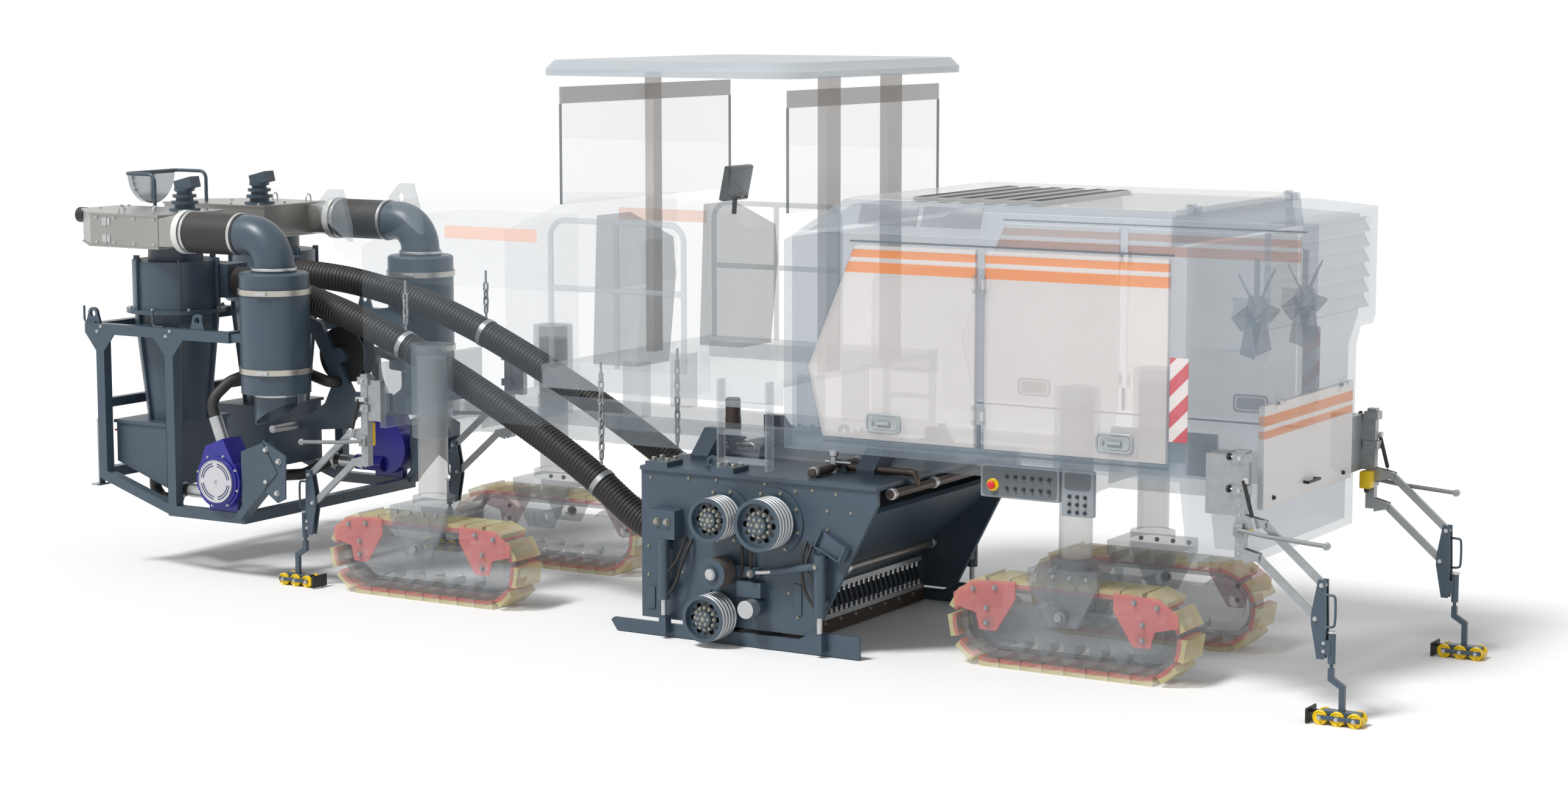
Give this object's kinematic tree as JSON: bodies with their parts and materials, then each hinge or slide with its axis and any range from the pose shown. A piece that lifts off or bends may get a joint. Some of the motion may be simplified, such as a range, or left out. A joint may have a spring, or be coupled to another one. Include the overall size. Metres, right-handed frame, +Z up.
{
  "type": "four-track road milling machine",
  "caption": "Road planer on steerable tracks with a belt-driven milling drum, operator platform under a canopy, front dust and slurry extraction unit and levelling arms.",
  "frame": {"origin": "on the ground, below the middle of the machine's bounding box", "axes": "+X forward towards the extraction unit, +Y to the driver's left, +Z up"},
  "size_m": [10.906, 2.5, 3.955],
  "materials": {
    "slate_paint": "satin paint",
    "frame_grey": "satin paint",
    "panel_white": "gloss paint",
    "pad_yellow": "moulded pads",
    "screen_glass": "clear",
    "stainless": "brushed",
    "drum_steel": "worn steel",
    "galvanised": "zinc coated",
    "pump_blue": "gloss paint",
    "hose_rubber": "ribbed rubber",
    "black_plastic": "moulded",
    "engine_grey": "painted casting"
  },
  "bodies": {
    "machine": {"milling_housing": "slate_paint", "unit_frame": "slate_paint", "cyclones": "slate_paint", "silencers": "slate_paint", "fan_motors": "slate_paint", "main_frame": "frame_grey", "deck": "frame_grey", "hand_rails": "frame_grey", "canopy_posts": "frame_grey", "conveyor_ears": "frame_grey", "consoles": "frame_grey", "side_tanks": "panel_white", "channel_cover": "panel_white", "canopy_roof": "panel_white", "hood_frame": "panel_white", "canopy_glass": "screen_glass", "fan_boxes": "stainless", "scraper": "drum_steel", "levelling_mounts": "galvanised", "hose_hangers": "galvanised", "slurry_pumps": "pump_blue", "suction_hoses": "hose_rubber", "duct_sleeves": "hose_rubber", "engine_and_cooler": "engine_grey"},
    "track_front_left": {"track_loop_front_left": "pad_yellow", "track_frame_front_left": "frame_grey"},
    "track_front_right": {"track_loop_front_right": "pad_yellow", "track_frame_front_right": "frame_grey"},
    "track_rear_left": {"track_loop_rear_left": "pad_yellow", "track_frame_rear_left": "frame_grey"},
    "track_rear_right": {"track_loop_rear_right": "pad_yellow", "track_frame_rear_right": "frame_grey"},
    "lid": {"hood_lid": "panel_white"},
    "front_door_left": {"door_front_left": "panel_white"},
    "front_door_right": {"door_front_right": "panel_white"},
    "rear_door_left": {"door_rear_left": "panel_white"},
    "rear_door_right": {"door_rear_right": "panel_white"},
    "flap": {"rear_flap": "panel_white"},
    "fan_left": {"cooling_fan_left": "black_plastic"},
    "skid_left": {"side_skid_left": "drum_steel"},
    "fan_right": {"cooling_fan_right": "black_plastic"},
    "skid_right": {"side_skid_right": "drum_steel"},
    "drum": {"milling_drum": "drum_steel", "drum_pulley": "stainless"},
    "engine_sheave": {"engine_pulley": "stainless"},
    "pump_sheave": {"pump_pulley": "stainless"},
    "tensioner": {"tension_roller": "drum_steel"},
    "reel": {"hose_reel": "black_plastic"},
    "upper_arm_front_left": {"upper_link_front_left": "galvanised"},
    "lower_arm_front_left": {"lower_link_front_left": "galvanised"},
    "leg_front_left": {"arm_leg_front_left": "slate_paint"},
    "upper_arm_front_right": {"upper_link_front_right": "galvanised"},
    "lower_arm_front_right": {"lower_link_front_right": "galvanised"},
    "leg_front_right": {"arm_leg_front_right": "slate_paint"},
    "upper_arm_rear_left": {"upper_link_rear_left": "galvanised"},
    "lower_arm_rear_left": {"lower_link_rear_left": "galvanised"},
    "leg_rear_left": {"arm_leg_rear_left": "slate_paint"},
    "upper_arm_rear_right": {"upper_link_rear_right": "galvanised"},
    "lower_arm_rear_right": {"lower_link_rear_right": "galvanised"},
    "leg_rear_right": {"arm_leg_rear_right": "slate_paint"}
  },
  "joints": [
    {"name": "steer_front_left", "type": "hinge", "parent": "machine", "child": "track_front_left", "pos_m": [1.858, 0.763, 0.3], "axis": [0, 0, 1], "range_deg": [-25, 25]},
    {"name": "steer_front_right", "type": "hinge", "parent": "machine", "child": "track_front_right", "pos_m": [1.858, -0.763, 0.3], "axis": [0, 0, 1], "range_deg": [-25, 25]},
    {"name": "steer_rear_left", "type": "hinge", "parent": "machine", "child": "track_rear_left", "pos_m": [-3.262, 0.608, 0.3], "axis": [0, 0, 1], "range_deg": [-15, 15]},
    {"name": "steer_rear_right", "type": "hinge", "parent": "machine", "child": "track_rear_right", "pos_m": [-3.262, -0.608, 0.3], "axis": [0, 0, 1], "range_deg": [-15, 15]},
    {"name": "lid_tilt", "type": "hinge", "parent": "machine", "child": "lid", "pos_m": [-4.12, 0, 3.094], "axis": [0, -1, 0], "range_deg": [0, 45]},
    {"name": "front_door_left_swing", "type": "hinge", "parent": "machine", "child": "front_door_left", "pos_m": [-2.766, 1.114, 2.1], "axis": [0, 0, 1], "range_deg": [0, 80]},
    {"name": "front_door_right_swing", "type": "hinge", "parent": "machine", "child": "front_door_right", "pos_m": [-2.766, -1.114, 2.1], "axis": [0, 0, -1], "range_deg": [0, 80]},
    {"name": "rear_door_left_swing", "type": "hinge", "parent": "machine", "child": "rear_door_left", "pos_m": [-2.832, 1.114, 2.1], "axis": [0, 0, -1], "range_deg": [0, 80]},
    {"name": "rear_door_right_swing", "type": "hinge", "parent": "machine", "child": "rear_door_right", "pos_m": [-2.832, -1.114, 2.1], "axis": [0, 0, 1], "range_deg": [0, 80]},
    {"name": "flap_tilt", "type": "hinge", "parent": "machine", "child": "flap", "pos_m": [-4.636, 0, 1.865], "axis": [0, 1, 0], "range_deg": [0, 80]},
    {"name": "fan_left_spin", "type": "hinge", "parent": "machine", "child": "fan_left", "pos_m": [-4.382, 0.41, 2.43], "axis": [1, 0, 0], "continuous": true},
    {"name": "fan_right_spin", "type": "hinge", "parent": "machine", "child": "fan_right", "pos_m": [-4.382, -0.41, 2.43], "axis": [1, 0, 0], "continuous": true},
    {"name": "drum_spin", "type": "hinge", "parent": "machine", "child": "drum", "pos_m": [-0.782, 0, 0.2], "axis": [0, 1, 0], "continuous": true},
    {"name": "engine_sheave_spin", "type": "hinge", "parent": "machine", "child": "engine_sheave", "pos_m": [-1.214, 1.15, 0.881], "axis": [0, 1, 0], "continuous": true},
    {"name": "pump_sheave_spin", "type": "hinge", "parent": "machine", "child": "pump_sheave", "pos_m": [-0.823, 1.15, 0.883], "axis": [0, 1, 0], "continuous": true},
    {"name": "tensioner_spin", "type": "hinge", "parent": "machine", "child": "tensioner", "pos_m": [-0.837, 1.15, 0.513], "axis": [0, 1, 0], "continuous": true},
    {"name": "reel_spin", "type": "hinge", "parent": "machine", "child": "reel", "pos_m": [2.958, 0.37, 1.7], "axis": [0, 1, 0], "continuous": true},
    {"name": "skid_left_lift", "type": "slide", "parent": "machine", "child": "skid_left", "axis": [0, 0, 1], "range_m": [-0.2, 0.05]},
    {"name": "skid_right_lift", "type": "slide", "parent": "machine", "child": "skid_right", "axis": [0, 0, 1], "range_m": [-0.2, 0.05]},
    {"name": "arm_front_left_lift", "type": "hinge", "parent": "machine", "child": "upper_arm_front_left", "pos_m": [2.516, 0.89, 1.194], "axis": [0, -1, 0], "range_deg": [-15, 25]},
    {"name": "arm_front_left_lower", "type": "hinge", "parent": "machine", "child": "lower_arm_front_left", "pos_m": [2.478, 0.89, 0.985], "axis": [0, -1, 0], "range_deg": [-15, 25]},
    {"name": "arm_front_left_level", "type": "hinge", "parent": "upper_arm_front_left", "child": "leg_front_left", "pos_m": [2.908, 0.89, 0.854], "axis": [0, -1, 0], "range_deg": [-25, 15]},
    {"name": "arm_front_right_lift", "type": "hinge", "parent": "machine", "child": "upper_arm_front_right", "pos_m": [2.516, -0.89, 1.194], "axis": [0, -1, 0], "range_deg": [-15, 25]},
    {"name": "arm_front_right_lower", "type": "hinge", "parent": "machine", "child": "lower_arm_front_right", "pos_m": [2.478, -0.89, 0.985], "axis": [0, -1, 0], "range_deg": [-15, 25]},
    {"name": "arm_front_right_level", "type": "hinge", "parent": "upper_arm_front_right", "child": "leg_front_right", "pos_m": [2.908, -0.89, 0.854], "axis": [0, -1, 0], "range_deg": [-25, 15]},
    {"name": "arm_rear_left_lift", "type": "hinge", "parent": "machine", "child": "upper_arm_rear_left", "pos_m": [-4.779, 1.126, 1.194], "axis": [0, 1, 0], "range_deg": [-15, 25]},
    {"name": "arm_rear_left_lower", "type": "hinge", "parent": "machine", "child": "lower_arm_rear_left", "pos_m": [-4.741, 1.126, 0.985], "axis": [0, 1, 0], "range_deg": [-15, 25]},
    {"name": "arm_rear_left_level", "type": "hinge", "parent": "upper_arm_rear_left", "child": "leg_rear_left", "pos_m": [-5.171, 1.126, 0.854], "axis": [0, 1, 0], "range_deg": [-25, 15]},
    {"name": "arm_rear_right_lift", "type": "hinge", "parent": "machine", "child": "upper_arm_rear_right", "pos_m": [-4.779, -1.126, 1.194], "axis": [0, 1, 0], "range_deg": [-15, 25]},
    {"name": "arm_rear_right_lower", "type": "hinge", "parent": "machine", "child": "lower_arm_rear_right", "pos_m": [-4.741, -1.126, 0.985], "axis": [0, 1, 0], "range_deg": [-15, 25]},
    {"name": "arm_rear_right_level", "type": "hinge", "parent": "upper_arm_rear_right", "child": "leg_rear_right", "pos_m": [-5.171, -1.126, 0.854], "axis": [0, 1, 0], "range_deg": [-25, 15]}
  ],
  "couplings": [
    {"joint": "arm_front_left_lower", "follows": "arm_front_left_lift", "ratio": 1},
    {"joint": "arm_front_left_level", "follows": "arm_front_left_lift", "ratio": -1},
    {"joint": "arm_front_right_lower", "follows": "arm_front_right_lift", "ratio": 1},
    {"joint": "arm_front_right_level", "follows": "arm_front_right_lift", "ratio": -1},
    {"joint": "arm_rear_left_lower", "follows": "arm_rear_left_lift", "ratio": 1},
    {"joint": "arm_rear_left_level", "follows": "arm_rear_left_lift", "ratio": -1},
    {"joint": "arm_rear_right_lower", "follows": "arm_rear_right_lift", "ratio": 1},
    {"joint": "arm_rear_right_level", "follows": "arm_rear_right_lift", "ratio": -1}
  ]
}
